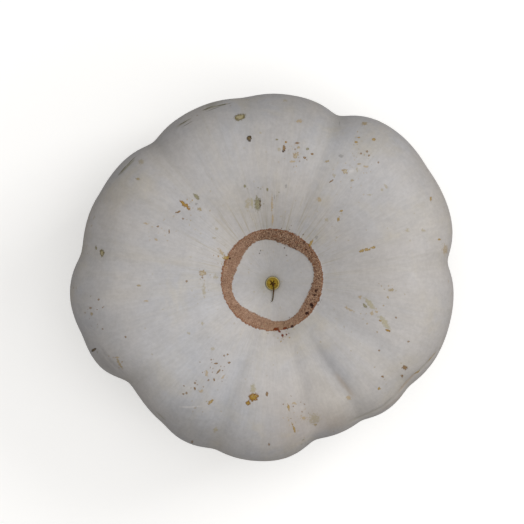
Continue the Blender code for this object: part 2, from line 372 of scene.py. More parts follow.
def shapeFruit():
    facts = fruitFacts
    piece = copyOfNode("fruit", "pumpkin_skin")
    addModifier(piece, "SUBSURF", levels=2, render_levels=2)
    mesh = piece.data
    points = readRows(mesh.vertices, "co")
    x, y = points[:, 0] - axis.x, points[:, 1] - axis.y
    out, angle = np.hypot(x, y), np.degrees(np.arctan2(y, x)) % 360
    onTop = points[:, 2] > facts["widestHeight"]

    # how far across the scar's band each point lies, 0 at its inner edge and 1 at its outer one
    corner = np.cos(4 * np.radians(angle - facts["scarCornerAt"]))
    inner = facts["scarInner"] + facts["scarSquareness"] * corner - driftOf(facts["innerDrift"], angle)
    outer = facts["scarOuter"] + driftOf(facts["outerDrift"], angle)
    across = np.where(onTop, (out - inner) / (outer - inner), farAcross)
    band = smoothStep(*facts["granulesStart"], across) * (1 - smoothStep(*facts["granulesEnd"], across))
    weightPoints(piece, "scar", band)
    displace(piece, facts["unevenSize"], facts["unevenness"])
    displace(piece, facts["granuleSize"], facts["granuleHeight"], "scar", noise_depth=2)

    # how far down the side, in quarter turns: 0 at the crest, 1 at the widest, 2 at the feet
    core = facts["coreShare"] * facts["radius"]
    turn = np.arctan2(points[:, 2] - facts["widestHeight"], out - core)
    down = (math.pi / 2 - turn) / (math.pi / 2)
    groove = np.zeros(len(points))
    for place, share in facts["grooves"]:
        away = np.abs((angle - place + 180) % 360 - 180)
        groove += share * np.exp(-(away / facts["grooveWidth"]) ** 2)
    groove *= smoothStep(*facts["groovesStart"], down) * (1 - smoothStep(*facts["groovesEnd"], down % 4))
    keepOn(mesh, "POINT", "acrossScar", across)
    keepOn(mesh, "POINT", "downSide", down)
    keepOn(mesh, "POINT", "inGroove", groove)
    bpy.ops.object.shade_smooth()
    return piece


fruit = shapeFruit()
print("fruit shaped,", len(fruit.data.polygons), "faces")


# Fruit: folds and broad tints, placed where the photo shows them

foldFacts = {
    "steps": 24,  # places along each stretch of a route
    "easeOff": 5,  # the ends of a route ease off over one part in this many
    # how deep and how wide in mm, tint, how strong, and the route in pixels; dark along a groove or the rim
    # is painted shade in the crease, olive along the rim is partly painted shadow in the crease, and cool is
    # a painted cool shade in the groove
    "folds": {
        "grooveFlank": (1.2, 5.0, "dark", 0.06, ((296, 332), (320.5, 359.5), (341, 384), (355, 400))),
        "grooveEdge": (0.0, 1.8, "warm", 0.28, ((334, 372), (345, 386), (355, 399))),
        "lowerGroove": (0.4, 6.0, "dark", 0.02, ((290, 341), (297, 353), (304, 390), (309, 417))),
        "lowerLeftGroove": (0.9, 6.5, "dark", 0.06, ((246, 350), (236, 374), (228, 398), (218, 442))),
        "lowerLeftGrooveCool": (0.0, 7.0, "cool", 0.30, ((246, 350), (236, 374), (228, 398), (218, 442))),
        "rightGroove": (0.9, 6.0, "dark", 0.03, ((320, 311), (345, 326), (370, 340), (402, 360))),
        "rightGrooveCool": (0.0, 7.0, "cool", 0.22, ((320, 311), (345, 326), (370, 340), (402, 360))),
        "grooveFlankCool": (0.0, 7.0, "cool", 0.16, ((300, 328), (326, 356), (348, 380), (360, 396))),
        "rightRim": (0.9, 2.2, "olive", 0.30, ((438, 350), (423, 368), (417, 372))),
        "rightRimMiddle": (0.9, 2.2, "warm", 0.50, ((417, 372), (408, 381), (397, 394))),
        "rightRimLow": (0.8, 2.3, "olive", 0.30, ((397, 394), (383, 407), (366, 415), (344, 424))),
        "rightRimBand": (0.0, 4.0, "warm", 0.22, ((440, 357), (420, 377), (401, 397), (372, 417))),
        "leftRimUpper": (0.6, 1.4, "dark", 0.10, ((77, 302), (81, 314))),
        "leftRim": (0.6, 1.8, "dark", 0.09, ((96, 342), (110, 361), (127, 377))),
        "leftRimLow": (0.4, 1.6, "olive", 0.50, ((155, 411), (166, 421))),
        "upperLeftRim": (0.5, 1.3, "olive", 0.85, ((118, 176), (127, 166), (135, 159))),
        "upperRimShort": (0.5, 1.3, "olive", 0.75, ((176, 127), (189, 119))),
        "upperRimLong": (0.5, 1.5, "olive", 0.85, ((202, 111), (211, 107), (230, 103))),
    },
    # tint: how strong, radius, and the place in pixels; a dark one below 0 lightens
    "patches": {
        # above 0 these darken as painted shade, below 0 they lighten as painted light, partly also the
        # skin's own tone
        "dark": {
            "ringTop": (0.12, 18, 270, 233), "ringBottomDark": (0.17, 16, 290, 327),
            "ringLeftDark": (0.11, 15, 231, 290), "insideRing": (0.17, 34, 275, 274),
            "aboveRing": (0.13, 34, 292, 222), "aboveRingLeft": (0.08, 26, 250, 200),
            "belowRing": (-0.13, 34, 267, 362), "leftOfRing": (-0.12, 28, 226, 308),
            "lowLeftShoulder": (-0.15, 34, 165, 376), "lowLeftRim": (0.16, 34, 198, 434),
            "farLeftRim": (0.17, 16, 105, 362), "topRim": (0.12, 50, 300, 110),
            "upperLeftShoulder": (0.06, 36, 207, 122), "rightOfGroove": (-0.09, 22, 339, 334),
            # the patch that lightens the right shoulder is a painted highlight
            "paintedHighlightPatch": (-0.05, 16, 355, 174), "farRight": (-0.07, 34, 441, 264),
            "farLeft": (-0.07, 22, 85, 262), "leftUpper": (-0.07, 20, 206, 250),
            "leftFar": (-0.06, 20, 93, 227), "lowRight": (-0.06, 20, 366, 355),
            "lowRightRim": (0.09, 20, 338, 426), "lowMiddle": (-0.08, 26, 268, 440),
            "lowLight": (-0.25, 14, 313, 429), "leftRimDark": (0.10, 14, 113, 370),
            "besideGroove": (0.06, 13, 327, 380), "underStreak": (0.06, 16, 190, 208),
            "rightGroup": (0.07, 26, 368, 138), "besideGrooveTop": (0.04, 10, 306, 352),
        },
        "warm": {
            "ringBottom": (0.22, 12, 279, 328), "aroundButtonWarm": (0.20, 10, 272, 283),
            "lowWarm": (0.24, 34, 298, 431), "lowRightWarm": (0.16, 18, 336, 424),
        },
        # the olive by the upper rim is partly painted shadow in its crease; round the button it is the
        # halo's own colour
        "olive": {"upperRimOlive": (0.40, 9, 212, 104), "aroundButton": (0.40, 11, 269.5, 284)},
        # painted cool shade in the hollow round the scar, and a painted sheen on the lower-left shoulder
        "cool": {"insideRingCool": (0.35, 34, 272, 278), "lowLeftCool": (0.30, 60, 180, 360)},
    },
}

tints = {"dark": 0, "warm": 1, "olive": 2, "cool": 3}  # the places in the skin's weather-and-shade colour


def pictureHit(tree, pixel):
    place, normal, _, _ = tree.ray_cast(eye, sightLine(pixel))
    return place, normal


def surfaceTree(mesh):
    return BVHTree.FromPolygons([vertex.co for vertex in mesh.vertices],
                                [face.vertices for face in mesh.polygons])


def routeOnSurface(tree, route):
    # points along a route of pixels, each with a weight that eases off at the two ends
    found = []
    ease = foldFacts["easeOff"]
    for share in np.linspace(0, 1, foldFacts["steps"] * (len(route) - 1)):
        stretch = min(int(share * (len(route) - 1)), len(route) - 2)
        part = share * (len(route) - 1) - stretch
        start, end = np.array(route[stretch]), np.array(route[stretch + 1])
        place, _ = pictureHit(tree, start * (1 - part) + end * part)
        if place:
            found.append((*place, min(1, ease * share, ease * (1 - share))))
    return np.array(found)


def foldFruit(piece):
    mesh = piece.data
    tree = surfaceTree(mesh)
    points, normals = readRows(mesh.vertices, "co"), readRows(mesh.vertex_normals, "vector")
    weatherAndShade = np.zeros((len(points), len(tints)))
    inwards = np.zeros(len(points))
    for depth, width, tint, amount, route in foldFacts["folds"].values():
        line = routeOnSurface(tree, route)
        reach = 4 * width * mm
        least, most = line[:, :3].min(0) - reach, line[:, :3].max(0) + reach
        near = np.nonzero((points > least).all(1) & (points < most).all(1))[0]
        away = np.linalg.norm(points[near, None] - line[None, :, :3], axis=2)
        shape = np.exp(-(away.min(1) / (width * mm)) ** 2) * line[away.argmin(1), 3]
        inwards[near] = np.maximum(inwards[near], depth * mm * shape)
        weatherAndShade[near, tints[tint]] += amount * shape
    for tint, places in foldFacts["patches"].items():
        for amount, radius, x, y in places.values():
            place, _ = pictureHit(tree, (x, y))
            away = np.linalg.norm(points - np.array(place), axis=1)
            weatherAndShade[:, tints[tint]] += amount * np.exp(-(away / (radius * perPixel)) ** 2)
    moved = points - normals * inwards[:, None]
    moved[:, 2] = np.maximum(moved[:, 2], 0)  # nothing reaches below the ground
    movePoints(mesh, moved)
    keepOn(mesh, "POINT", "weatherAndShade", weatherAndShade)


foldFruit(fruit)
print("folds made")


# Fruit: marks of weather and handling, placed where the photo shows them

# most are the skin's own marks; the gleam on the right shoulder is a painted highlight, and the rim lines
# are partly painted shadow in the crease
markKinds = {
    # colour at the edge, colour in the middle, strength, how soft and how ragged its edge is
    "oliveRing": ("62551e", "a89c74", 0.95, 0.20, 0.5),
    "olive": ("70683e", "827a4e", 0.82, 0.30, 0.6),
    "darkOlive": ("382a08", "664f1a", 0.98, 0.18, 0.4),
    "rimLine": ("4a4420", "524c28", 0.85, 0.45, 0.3),
    "pale": ("cfcac6", "d3cfcc", 0.55, 0.50, 0.5),
    "paleOlive": ("9c9164", "a89d74", 0.65, 0.45, 0.7),
    "tan": ("937d4c", "a18a5a", 0.75, 0.35, 0.9),
    "tanRing": ("92753a", "b3a482", 0.75, 0.25, 0.9),
    "orange": ("885f0c", "9e7a1a", 0.98, 0.22, 0.7),
    "golden": ("94752c", "a88942", 0.90, 0.25, 0.7),
    "paleOrange": ("a28547", "ac8f58", 0.60, 0.45, 1.1),
    "brown": ("6e4a12", "866424", 0.90, 0.24, 0.7),
    "darkBrown": ("3a2408", "583a14", 1.00, 0.22, 0.6),
    "gold": ("7e5602", "9e7a02", 1.00, 0.18, 0.5),
    "faint": ("a09270", "a59875", 0.60, 0.50, 1.1),
    "grey": ("7d7a76", "83807c", 0.60, 0.45, 0.7),
    "darkGrey": ("55504b", "4b4641", 0.80, 0.30, 0.6),
    "black": ("3a1200", "220600", 1.00, 0.22, 0.9),
    "rust": ("602400", "723000", 1.00, 0.25, 0.8),
}

# pixels: (x, y, length, width), and the turn of the length in degrees where there is one
marks = {
    "oliveRing": {"topOval": (240, 117, 11.5, 6.5, 15), "leftRound": (102, 253, 4.5, 7)},
    "olive": {
        "overRing": (257.5, 204, 6.5, 13), "overRingLeft": (245, 186, 2.5, 3.5),
        "overRingRight": (267.5, 189.5, 2, 3.5), "leftTall": (96, 247.5, 2, 4.5),
        "nearStreak": (196.5, 196.5, 7.5, 3.5, -45), "topLeftOfGroup": (277, 139.5, 3, 2),
        "trail": (365, 306, 6, 2.6, -45), "topFar": (307.5, 149, 3, 2.5),
    },
    "darkOlive": {
        "underOval": (249, 138.5, 5, 6), "lowLeftRim": (93.5, 350, 2.5, 5, -55),
        "overRingEdge": (260, 204, 1.6, 10),
    },
    "paleOlive": {
        "trailUpper": (369.5, 303.5, 14, 4.5, -50), "trailLower": (384.5, 322.5, 15, 5.5, -52),
        "lowPatch": (253, 389, 5, 9), "overRingSide": (252, 203, 3, 9),
    },
    # dark olive lines along the rim: partly their own colour, partly painted shadow in the crease
    "rimLine": {
        "leftLong": (123, 169.5, 15, 0.9, 47), "leftThin": (131.5, 160.5, 13, 0.6, 42),
        "middle": (184, 122.3, 16, 0.6, 30), "middleThin": (187, 124.2, 11, 0.5, 30),
        "topLong": (209, 107.6, 15, 0.7, 22), "topMiddle": (214, 108.6, 13, 0.5, 18),
        "topThin": (224, 104.6, 15, 0.5, 13),
    },
    "tan": {
        "topRightLow": (298.5, 147.5, 3, 3), "rightInner": (352, 180.5, 3.5, 2, 20),
        "upperLeft": (138, 179, 4, 2.5), "byStreak": (199.5, 209, 4, 3.5),
        "upperRight": (327, 161.5, 4.5, 2, 20), "rightLong": (359, 164, 4, 2), "left": (139, 285.5, 4, 2),
        "topRight": (364.5, 123.5, 6, 3), "lowTail": (315.5, 424.5, 3, 2.5),
        "rightSoft": (388, 297.5, 2.5, 2.5), "underTrail": (391, 290, 5, 3),
        "lowScratch": (195, 408, 3, 1.2, 4), "leftDiagonal": (119.5, 364, 12, 2.2, -55),
        "leftEdge": (91.5, 314, 2.5, 3.5),
    },
    # the gleam on the right shoulder is a painted highlight; the scratch is a real mark
    "pale": {"lowScratch": (189, 407, 20, 1.8, 4), "paintedHighlightMark": (351.5, 171, 6, 4, 30)},
    "tanRing": {"top": (296, 155.5, 6, 6), "right": (345, 171.5, 6, 5), "left": (202.5, 273, 6, 5)},
    "orange": {
        "streak": (185, 205, 13, 4, -41), "topTip": (285.5, 142.5, 5, 2, 30),
        "trailEnd": (388, 330.5, 5, 2.2, -20), "trailThird": (380.5, 320.5, 2.5, 2),
    },
    "golden": {
        "touchingRing": (226, 257.5, 6, 4), "fromRing": (311, 243, 2.5, 7, -30),
        "longLeft": (361.5, 251, 6, 2.6, 16), "longMiddle": (367, 249.5, 7, 2.8, 16),
        "longRight": (372.5, 247.5, 6, 2.6, 16), "lowStreak": (288.5, 407.5, 2.5, 6.5, 15),
        "lowDot": (379, 388.5, 3, 2.5), "lowMiddle": (294, 428.5, 2, 9, 18),
        "rimBit": (417, 372.3, 6, 1.2, 38), "rimThin": (431.5, 357, 15, 0.7, 50),
        "underGroup": (210.5, 402, 7, 3, 38), "middleRight": (341.5, 211, 4, 2, 10),
        "middleRightTall": (338.5, 219, 2.5, 5, -15), "farRightTall": (431, 199, 2.2, 4.5),
        "rightDot": (439, 239.5, 2.5, 2), "rightYellow": (373.5, 139.5, 4, 2.5),
        "rightPair": (356, 142, 3.5, 2), "rightPairLow": (358.5, 137.5, 3, 1.5),
    },
    "paleOrange": {
        "nearTop": (319, 199, 3.5, 4), "farRight": (445.5, 250, 4, 9),
        "upLeftOfRing": (221, 252, 8, 3, -45), "thinUpper": (146.5, 223.5, 5, 1.5, -10),
        "thinLower": (156, 239.5, 3.5, 2, -20), "top": (293, 161.5, 5, 2), "farTop": (299, 121, 6, 3),
        "verticalUpper": (272, 204, 2, 14), "verticalLower": (272.5, 219, 2, 10),
        "lowLeft": (303.5, 418, 5, 4), "trailStart": (360, 297, 4, 3),
        "besideTrail": (349.5, 309.5, 9, 1.7, -25), "besideTrailLeft": (346, 307.5, 3, 2.4),
        "trailLate": (376.5, 311.5, 4, 3), "trailDown": (372, 313, 3, 4), "right": (366.5, 166.5, 5, 1.5),
        "low": (294.5, 403.5, 4, 3), "lowRight": (348.5, 398, 4, 4), "left": (146, 301, 4.5, 1.6),
        "leftHigh": (117.5, 357.5, 3, 2), "groupTall": (206.5, 373, 3, 6),
        "groupLow": (223.5, 376.5, 1.8, 5, -40), "groupLeftLow": (201.5, 391, 4, 2.5),
    },
    "brown": {
        "topStreak": (284, 148.5, 3, 8), "topRight": (297, 143, 5, 2), "topFar": (312, 154, 3, 2),
        "topFarLow": (305, 157.5, 3, 2.5), "upperRightLow": (331.5, 181, 5, 1.5, 35),
        "lowRight": (405, 367.5, 5, 4.5), "lowRightUnder": (402, 376, 2, 3),
        "lowRightLeft": (382.5, 376.5, 3, 2.5), "groupTop": (227.5, 354.5, 2.2, 1.6),
        "groupDark": (229, 362.5, 2.6, 2.2), "groupLong": (216, 363.5, 4, 1.8),
        "groupTurned": (218.5, 371.5, 6, 1.7, 50), "groupSmall": (214, 379.5, 1.8, 3),
        "groupLeft": (195, 388.5, 1.8, 3), "byPatch": (267, 394, 2.5, 4.5),
        "besideStreak": (178, 212, 5, 2, 20), "besideStreakThin": (169, 231.5, 1.2, 3.5),
    },
    "darkBrown": {"topStreakFoot": (284, 150.5, 3.5, 3.5), "farRightDark": (405, 367.5, 2, 2.5)},
    "gold": {"patch": (253.5, 397, 10.5, 8, 15), "patchTail": (248, 403, 5, 5.5)},
    "faint": {
        "upperLeftTall": (141, 161.5, 5, 5), "tallLeft": (204, 290, 3, 12),
        "farLowLeft": (215.5, 430, 4, 4), "overRing": (248, 204, 5, 9), "topMiddle": (279, 149.5, 3, 3),
        "upper": (260.5, 132.5, 2.5, 2.5), "upperFar": (285, 100.5, 4, 2),
        "rightDiagonal": (386, 186.5, 2, 5, 45), "rightLow": (370, 195, 4.5, 2),
        "rightInner": (334, 175.5, 3, 3), "right": (382, 190, 3, 3), "farRightUpper": (407.5, 230.5, 4, 3),
        "farRightLower": (423.5, 230.5, 4, 3), "left": (215.5, 277, 4, 4),
        "leftOfRing": (214.5, 238, 3, 1.5), "aboveIt": (216.5, 228.5, 3, 3), "lowLeft": (202, 323.5, 3, 3),
        "lowLeftFar": (189, 333, 3, 3), "low": (212.5, 349, 3, 3), "middle": (326.5, 219.5, 4, 3),
        "rightNarrow": (357, 169.5, 1.5, 4), "lowRight": (314.5, 418.5, 10, 9),
    },
    "grey": {
        "topRight": (339.5, 123, 1, 4), "right": (341, 156, 4, 3), "byStreak": (196.5, 204, 2.5, 2.5),
        "nearRing": (316.5, 237.5, 3, 3), "topOfRing": (274.5, 197, 1, 5), "top": (286, 186, 2, 3.5),
    },
    "darkGrey": {"insideRing": (260.5, 250.5, 1.4, 1.4), "insideRingLeft": (259.5, 253.5, 1.2, 1.2)},
    "black": {
        "ringRight": (316, 290.5, 3.5, 2.5), "ringRightLow": (314.5, 295, 2, 2),
        "ringLowRight": (311.5, 305.5, 4, 5.5), "ringLow": (307, 313, 3.5, 3),
        "ringBottom": (292.5, 326.5, 4, 2.5), "ringTopRight": (306, 249.5, 1.5, 1.5),
        "ringTopRightEdge": (304, 243, 1.5, 1.5), "ringLeft": (229.5, 258.5, 2, 2),
    },
    "rust": {
        "ringBottom": (276, 329, 5, 3.4), "link": (279.5, 331.5, 5, 1.8, -45),
        "trail": (282.5, 335.5, 2.2, 3.2), "trailEnd": (286.5, 334.5, 1.6, 1.6),
        "ringLow": (285, 328.5, 4, 2.2),
    },
}

# single specks: (x, y) in pixels
specks = {
    "upperRight": ((361, 153.5), (367, 151.5), (369, 155.5), (378.5, 162.5)),
    "leftOfRing": ((183, 218.5), (158, 226.5), (202.5, 277.5), (186.5, 281)),
    "leftEdge": ((98.5, 299.5), (90.5, 308), (125.5, 337)),
    "lowGroup": ((224, 355.5), (208.5, 380), (195, 383), (186.5, 393), (183.5, 394)),
    "lowRight": ((396, 317.5), (379, 350.5), (408.5, 341.5), (269, 444.5), (192, 442)),
}

# clusters of very small specks: middle in pixels, how far they reach, how many, and their kind
clusters = {
    "top": (299, 150, 14, 14, "brown"), "topPale": (294, 156, 12, 16, "paleOrange"),
    "right": (364, 157, 13, 16, "tan"), "rightHigh": (357, 137, 8, 6, "tan"),
    "rightPale": (352, 178, 18, 16, "paleOrange"), "upperLeft": (190, 212, 13, 12, "tan"),
    "upperLeftPale": (193, 207, 10, 10, "golden"), "left": (163, 232, 14, 12, "paleOrange"),
    "leftOfRing": (204, 279, 11, 12, "tan"), "lowLeft": (214, 367, 12, 18, "brown"),
    "lowLeftLower": (195, 388, 9, 8, "brown"), "lowScratch": (200, 405, 14, 10, "tan"),
    "bottom": (300, 418, 18, 22, "paleOrange"), "bottomDark": (296, 412, 12, 8, "brown"),
    "rightTrail": (375, 314, 12, 12, "golden"), "farRight": (392, 292, 12, 8, "tan"),
    "aboveRing": (262, 196, 14, 14, "olive"), "belowRing": (284, 337, 6, 8, "golden"),
    "besideRing": (223, 258, 6, 8, "orange"), "lowRight": (395, 370, 16, 6, "tan"),
    "leftRim": (92, 312, 12, 10, "brown"), "leftRimLow": (118, 362, 8, 8, "orange"),
    "ringRight": (312, 300, 8, 12, "darkBrown"), "ringLow": (290, 327, 8, 8, "darkBrown"),
    "ringTop": (285, 238, 14, 14, "darkBrown"), "all": (268, 270, 95, 150, "faint"),
}

markFacts = {
    "speckSize": 2.2,  # pixels
    "speckKind": ("brown", 0.8),  # and its strength
    "smallSpecks": (0.8, 1.9),  # pixels, the least and the most across
    "clusterSpread": 0.6,  # of its reach
    "clusterStrength": (0.35, 0.9),
    "seed": 7,
    "reach": 15 * mm,  # no mark changes anything farther than this from its middle
}

# small marks on the sides and the underside, which the photo doesn't show
scatterFacts = {
    "count": 260,
    "kinds": ("tan", "brown", "faint", "paleOrange", "olive", "tanRing"),
    "fullArea": 12 * mm * mm,  # a face this large is always taken
    "highestSlope": 0.45,
    "hollow": (-0.5, 20 * mm),  # none where it is this steep overhead and this high
    "length": (1.2, 4.5),  # mm
    "shortened": (0.5, 1),
    "width": (0.35, 0.9),  # of the length
    "strength": (0.4, 0.9),
}


def dualFrame(centre, alongEnd, acrossEnd, normal):
    # the vectors that turn a place near the mark into 0 at its middle and 1 at its edge
    along, across = alongEnd - centre, acrossEnd - centre
    basis = np.array([along, across, normal * along.length]).T
    return np.array(centre), np.linalg.inv(basis)


def markFromPicture(tree, pixel, length, width, turn=0):
    centre, normal = pictureHit(tree, pixel)
    cos, sin = math.cos(math.radians(turn)), math.sin(math.radians(turn))
    alongEnd, _ = pictureHit(tree, (pixel[0] + cos * length / 2, pixel[1] - sin * length / 2))
    acrossEnd, _ = pictureHit(tree, (pixel[0] + sin * width / 2, pixel[1] + cos * width / 2))
    if centre is None or alongEnd is None or acrossEnd is None:
        return None
    return dualFrame(centre, alongEnd, acrossEnd, normal)


def gatherMarks(tree, random):
    facts, found = markFacts, []
    for kind, places in marks.items():
        for x, y, length, width, *turn in places.values():
            found.append((markFromPicture(tree, (x, y), length, width, *turn), kind, 1.0))
    size = facts["speckSize"]
    for group in specks.values():
        for pixel in group:
            found.append((markFromPicture(tree, pixel, size, size), *facts["speckKind"]))
    for x, y, reach, count, kind in clusters.values():
        reach *= facts["clusterSpread"]
        for _ in range(count):
            pixel = (x + random.normal() * reach, y + random.normal() * reach)
            length, width = random.uniform(*facts["smallSpecks"], 2)
            made = markFromPicture(tree, pixel, length, width, random.uniform(0, 180))
            found.append((made, kind, random.uniform(*facts["clusterStrength"]) if made else 0))
    return [(*made, kind, strength) for made, kind, strength in found if made]


def scatterMarks(mesh, random):
    facts, found = scatterFacts, []
    while len(found) < facts["count"]:
        face = mesh.polygons[int(random.integers(len(mesh.polygons)))]
        if random.random() > face.area / facts["fullArea"] or face.normal.z > facts["highestSlope"]:
            continue
        if face.normal.z < facts["hollow"][0] and face.center.z > facts["hollow"][1]:
            continue
        length = random.uniform(*facts["length"]) * mm * random.uniform(*facts["shortened"])
        width = length * random.uniform(*facts["width"])
        sideways = face.normal.orthogonal().normalized()
        sideways.rotate(Quaternion(face.normal, random.uniform(0, fullTurn)))
        other = face.normal.cross(sideways)
        centre = face.center
        made = dualFrame(centre, centre + sideways * length / 2, centre + other * width / 2, face.normal)
        kind = facts["kinds"][int(random.integers(len(facts["kinds"])))]
        found.append((*made, kind, random.uniform(*facts["strength"])))
    return found


def layMarks(piece):
    # each face of the skin belongs to the mark it lies nearest to, if any is near
    mesh = piece.data
    random = np.random.default_rng(markFacts["seed"])
    found = gatherMarks(surfaceTree(mesh), random) + scatterMarks(mesh, random)
    centres = readRows(mesh.polygons, "center")
    nearest = np.full(len(centres), np.inf)
    chosen = np.zeros(len(centres), int)
    for index, (centre, inverse, _, _) in enumerate(found):
        close = np.nonzero(np.abs(centres - centre).max(1) < markFacts["reach"])[0]
        distance = np.linalg.norm((centres[close] - centre) @ inverse.T, axis=1)
        better = distance < nearest[close]
        nearest[close[better]] = distance[better]
        chosen[close[better]] = index

    # from faces to their corners
    sizes = readCounts(mesh.polygons, "loop_total")
    ofCorner = np.repeat(chosen, sizes)
    bare = np.repeat(np.isinf(nearest), sizes)
    origins, inverses = (np.array([mark[part] for mark in found])[ofCorner] for part in (0, 1))
    corners = readRows(mesh.vertices, "co")[readCounts(mesh.loops, "vertex_index")]
    local = np.einsum("nij,nj->ni", inverses, corners - origins)
    edges, middles, soft = [], [], []
    for _, _, kind, share in found:
        edge, middle, strength, softness, ragged = markKinds[kind]
        edges.append((*paint(edge)[:3], strength * share))
        middles.append((*paint(middle)[:3], ragged))
        soft.append(softness)
    edges, middles = np.array(edges)[ofCorner], np.array(middles)[ofCorner]
    local[:, 2] = np.array(soft)[ofCorner]  # how soft the edge is takes the third place
    edges[bare, 3] = 0
    keepOn(mesh, "CORNER", "markPlace", local)
    keepOn(mesh, "CORNER", "markEdge", edges)
    keepOn(mesh, "CORNER", "markMiddle", middles)
    return len(found)


print("marks laid:", layMarks(fruit))


# Fruit: the finish

skinFacts = {
    "base": "bdb8b4",
    "lavender": "b5b4b6",
    "cream": "c2b9a8",
    "olive": "9d9680",
    "line": "a09370",
    "weatherWarm": "a98d6a",
    # olive where the rim folds in is partly painted shadow in the crease
    "oliveStainAndCreaseShade": "85805e",
    "coolShadeAndSheenTint": "b3b5bb",
    # bluish grey for the painted cool shade in grooves and the hollow, and the painted sheen
    "corkLight": "b5937c",
    "corkDark": "8b6951",
    "corkGrain": "4e3324",
    "corkPale": "dcbb9c",
    "corkRust": "7a431a",
    "roughness": (0.44, 0.60),
    "corkRoughness": 0.9,
    "specular": 0.3,
    "bump": (0.6, 0.4 * mm),  # strength and depth
    # mottled patterns: how many a metre, how warped, and the noise at which they start and are full
    "mottled": {
        "broad": (11.0, 0.3, 0.35, 0.7), "warm": (23.0, 0.6, 0.5, 0.75), "spots": (80.0, 0.8, 0.3, 0.7),
        "grit": (380.0, 0.0, 0.3, 0.7), "worn": (1400.0, 0.0, 0.38, 0.52),
        "patchy": (190.0, 0.5, 0.35, 0.65), "rusty": (420.0, 0.8, 0.52, 0.66),
        "dots": (1050.0, 0.2, 0.5, 0.6), "sparks": (1300.0, 0.4, 0.54, 0.66),
    },
    # streaks out from the scar: how many, how far they drift, and the noise as above
    "streaked": {
        "thin": (26.0, 1.3, 0.5, 0.8), "wide": (7.0, 0.9, 0.45, 0.75),
        "fibres": (62.0, 13.0, 0.35, 0.7), "lines": (48.0, 4.0, 0.5, 0.72),
    },
    "corkRidges": (85.0, 0.8, 0.4, 0.65),
    "corkGrains": 900.0,  # a metre
    # layers in the order in which they are laid: colour, where, and how strongly
    # the last skin layer is a painted cool shade and painted sheen
    "skinLayers": (("lavender", "broad", 1.0), ("cream", "warm", 0.5), ("olive", "thin", 0.15),
                   ("cream", "wide", 0.22), ("olive", "groove", 0.2), ("coolShadeAndSheenTint", "cool", 1.0)),
    "corkLayers": (("corkDark", "patchyAndShadedSide", 0.45), ("corkDark", "ridges", 0.6),
                   ("corkGrain", "seams", 0.35), ("corkGrain", "dots", 1.0), ("corkPale", "sparks", 1.0),
                   ("corkRust", "rusty", 1.0), ("corkRust", "outerLine", 1.0)),
    "weatherAndShadeLayers": (("weatherWarm", "warmTint", 1.0), ("oliveStainAndCreaseShade", "oliveTint", 1.0)),
    # how much lighter and darker these make the skin
    "shades": {"fibres": 0.022, "grit": 0.03, "spots": 0.028},
    # fine lines: how they ease from the lower side to the upper one, and outwards from the scar
    "lineSides": (-0.6, 0.9, 0.08, 0.55),
    "linesStart": (0.9, 1.1),
    "linesEnd": (1.0, 5.5, 1.0, 0.0),
    # the scar's edge: how fine and how far the noise shifts it, and where it starts and ends
    "edgeNoise": 560.0,
    "edgeShift": 0.36,
    "scarStart": (0.0, 0.08),
    "scarEnd": (0.93, 1.0, 1.0, 0.0),
    "outerLine": (0.8, 0.95, 0.4, 0.8),  # start, full, least and most
    # the side that is darker, partly painted shade of the hollow's far wall, and more granular: its
    # direction, how it eases, and each pattern's strength off it and on it
    "shadedSideTowards": (0.8, 0.6, 0.0),
    "shadedSideEase": (-0.5, 0.7),
    "shadedSideRange": {"dots": (0.42, 0.95), "sparks": (0.2, 0.85), "rusty": (0.2, 0.5)},
    "markNoise": 600.0,
    "markRagged": 3.0,
    "markWorn": 0.72,
    "markMiddle": (0.35, 0.8),
    "poreSize": 1400.0,
    "relief": {"pores": 0.12, "thin": 0.2, "mark": 0.3},
}


def finishCork(tree, facts, centred, direction, masks):
    # darker on one side, partly painted shade, and more granular there; masks gains the scar itself and its
    # grain
    across = readAttribute(tree, "acrossScar")["Fac"]
    noise = addNode(tree, "TexNoise", {"Vector": centred, "Scale": facts["edgeNoise"], "Detail": 4.0,
                                       "Roughness": 0.65})
    shift = multiply(tree, calculate(tree, "SUBTRACT", noise.outputs["Fac"], 0.5), facts["edgeShift"])
    edge = calculate(tree, "ADD", across, shift)
    masks["scar"] = multiply(tree, fade(tree, edge, *facts["scarStart"]),
                             fade(tree, edge, *facts["scarEnd"]))
    towards = calculateVector(tree, "DOT_PRODUCT", direction, facts["shadedSideTowards"])
    shadedSide = fade(tree, towards, *facts["shadedSideEase"])
    masks["grain"], masks["seams"] = granulate(tree, centred, facts["corkGrains"])
    masks["ridges"] = streak(tree, centred, across, *facts["corkRidges"])
    masks["patchyAndShadedSide"] = calculate(tree, "ADD", masks["patchy"], shadedSide)
    start, full, least, most = facts["outerLine"]
    outerLine = multiply(tree, fade(tree, edge, start, full), calculate(tree, "ADD", least, masks["dots"]))
    masks["outerLine"] = calculate(tree, "MINIMUM", outerLine, most)
    for name, ends in facts["shadedSideRange"].items():
        masks[name] = multiply(tree, masks[name], fade(tree, shadedSide, 0.0, 1.0, *ends))
    return layColours(tree, facts, "corkLight", "corkLayers", masks)


